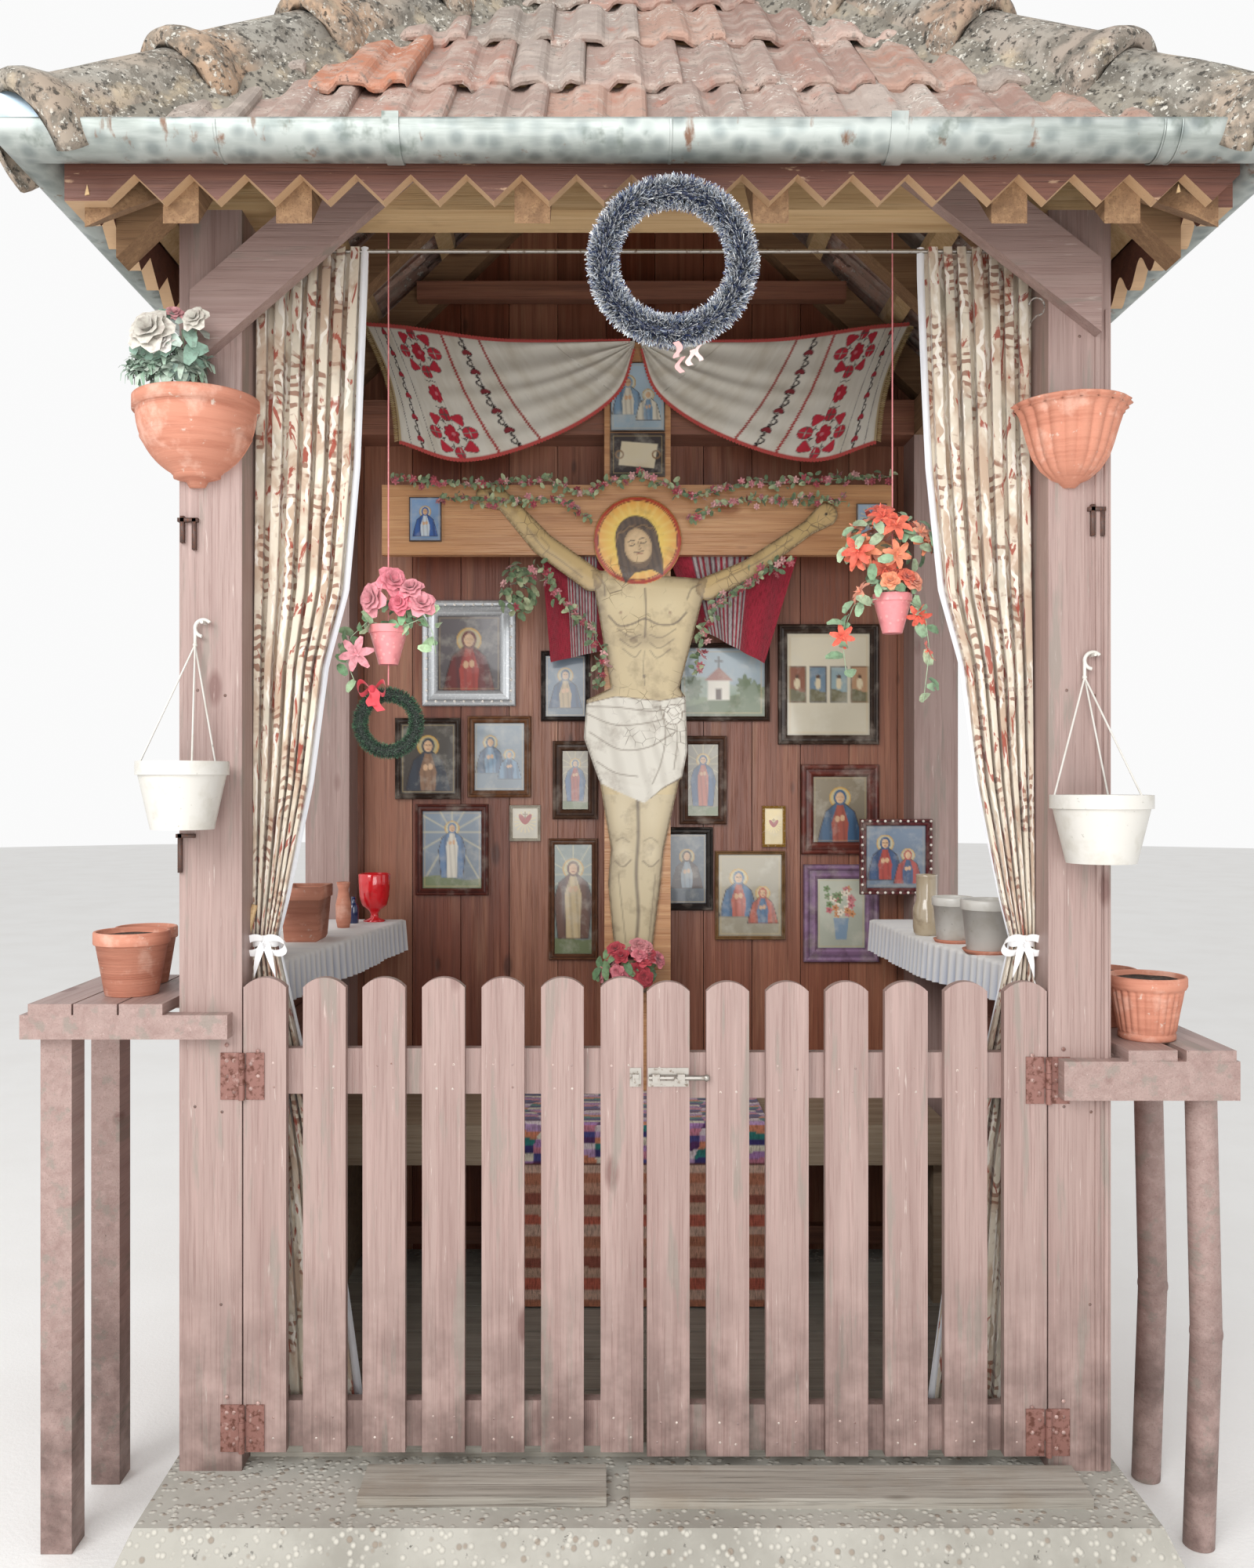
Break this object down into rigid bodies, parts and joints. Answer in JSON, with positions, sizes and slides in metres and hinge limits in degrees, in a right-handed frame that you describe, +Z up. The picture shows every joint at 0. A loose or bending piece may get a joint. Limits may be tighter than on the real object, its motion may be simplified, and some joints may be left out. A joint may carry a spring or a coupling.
{
  "type": "wayside shrine",
  "caption": "Timber wayside shrine on a concrete footing: hipped tile roof with toothed fascias, painted cross, benches, curtains and a two-leaf picket gate that swings.",
  "frame": {"origin": "middle of the ground plan, on the ground", "axes": "+Z up, the gate faces -Y, +X to the right seen from the gate"},
  "size_m": [2.314, 1.745, 3.6102],
  "materials": {
    "concrete": "rough aggregate concrete",
    "grey_plank": "weathered unpainted board",
    "floor_board": "worn floor board",
    "painted_timber": "old brown paint, cracked",
    "roof_timber": "aged sawn timber",
    "pale_timber": "unpainted pine",
    "clay_tile": "dusty interlocking clay tile",
    "hip_tile": "clay hip tile bedded in grey mortar",
    "varnished_plank": "red-brown varnish with knots",
    "fascia_board": "brown stain, sawn edges bare",
    "zinc": "galvanised, stained with rust",
    "cross_timber": "light varnish",
    "painted_board": "painted figure board",
    "print": "faded prints in frames",
    "shelf_board": "bare board",
    "bench_board": "bare worn board",
    "terracotta": "plain terracotta",
    "white_pot": "white plastic",
    "pink_pot": "pink plastic",
    "greenery": "artificial fir green",
    "hinge_iron": "overpainted iron",
    "bolt_steel": "dull steel",
    "curtain_print": "cream cotton with rust leaves",
    "net": "white net",
    "towel_linen": "cream linen with red embroidery",
    "tinsel": "silver and navy tinsel",
    "skirt": "white gathered cotton",
    "woven_cloth": "woven stripes"
  },
  "bodies": {
    "root": {"footing": "concrete", "thresholds": "grey_plank", "floor_boards": "floor_board", "posts": "painted_timber", "side_plates": "roof_timber", "front_beam": "pale_timber", "back_plate": "varnished_plank", "knee_braces": "painted_timber", "hip_rafters": "roof_timber", "side_rafters": "roof_timber", "front_rafters": "roof_timber", "ridge_board": "roof_timber", "battens": "pale_timber", "roof_front": "clay_tile", "roof_left": "clay_tile", "roof_right": "clay_tile", "hip_tiles": "hip_tile", "ridge_tiles": "hip_tile", "back_wall": "varnished_plank", "wall_rails": "varnished_plank", "side_walls": "varnished_plank", "fascia_front": "fascia_board", "fascia_sides": "fascia_board", "gutters": "zinc", "gutter_straps": "zinc", "corner_guards": "zinc", "cross": "cross_timber", "figure": "painted_board", "wall_pictures": "print", "cross_pictures": "print", "shelves": "shelf_board", "bench": "bench_board", "plant_stand_left": "painted_timber", "plant_stand_right": "painted_timber", "stand_pots": "terracotta", "wall_pots": "terracotta", "hanging_pots": "white_pot", "string_pots": "pink_pot", "shelf_pots": "terracotta", "gate_hinges": "hinge_iron", "curtain_rail": "bolt_steel", "curtain_left": "curtain_print", "curtain_right": "curtain_print", "window_curtains": "net", "towel": "towel_linen", "wreath": "tinsel", "small_wreath": "greenery", "shelf_skirts": "skirt", "bench_cloth": "woven_cloth"},
    "gate_leaf_left": {"gate_left": "painted_timber", "hinges_left": "hinge_iron", "bolt_keeper": "bolt_steel"},
    "gate_leaf_right": {"gate_right": "painted_timber", "hinges_right": "hinge_iron", "bolt_guides": "bolt_steel"},
    "gate_bolt": {"bolt": "bolt_steel"}
  },
  "joints": [
    {"name": "gate_left_hinge", "type": "hinge", "parent": "root", "child": "gate_leaf_left", "pos_m": [-0.7435, -0.458, 0.655], "axis": [0, 0, -1], "range_deg": [0, 95]},
    {"name": "gate_right_hinge", "type": "hinge", "parent": "root", "child": "gate_leaf_right", "pos_m": [0.8035, -0.458, 0.655], "axis": [0, 0, 1], "range_deg": [0, 95]},
    {"name": "bolt_slide", "type": "slide", "parent": "gate_leaf_right", "child": "gate_bolt", "axis": [-1, 0, 0], "range_m": [0, 0.026]}
  ]
}
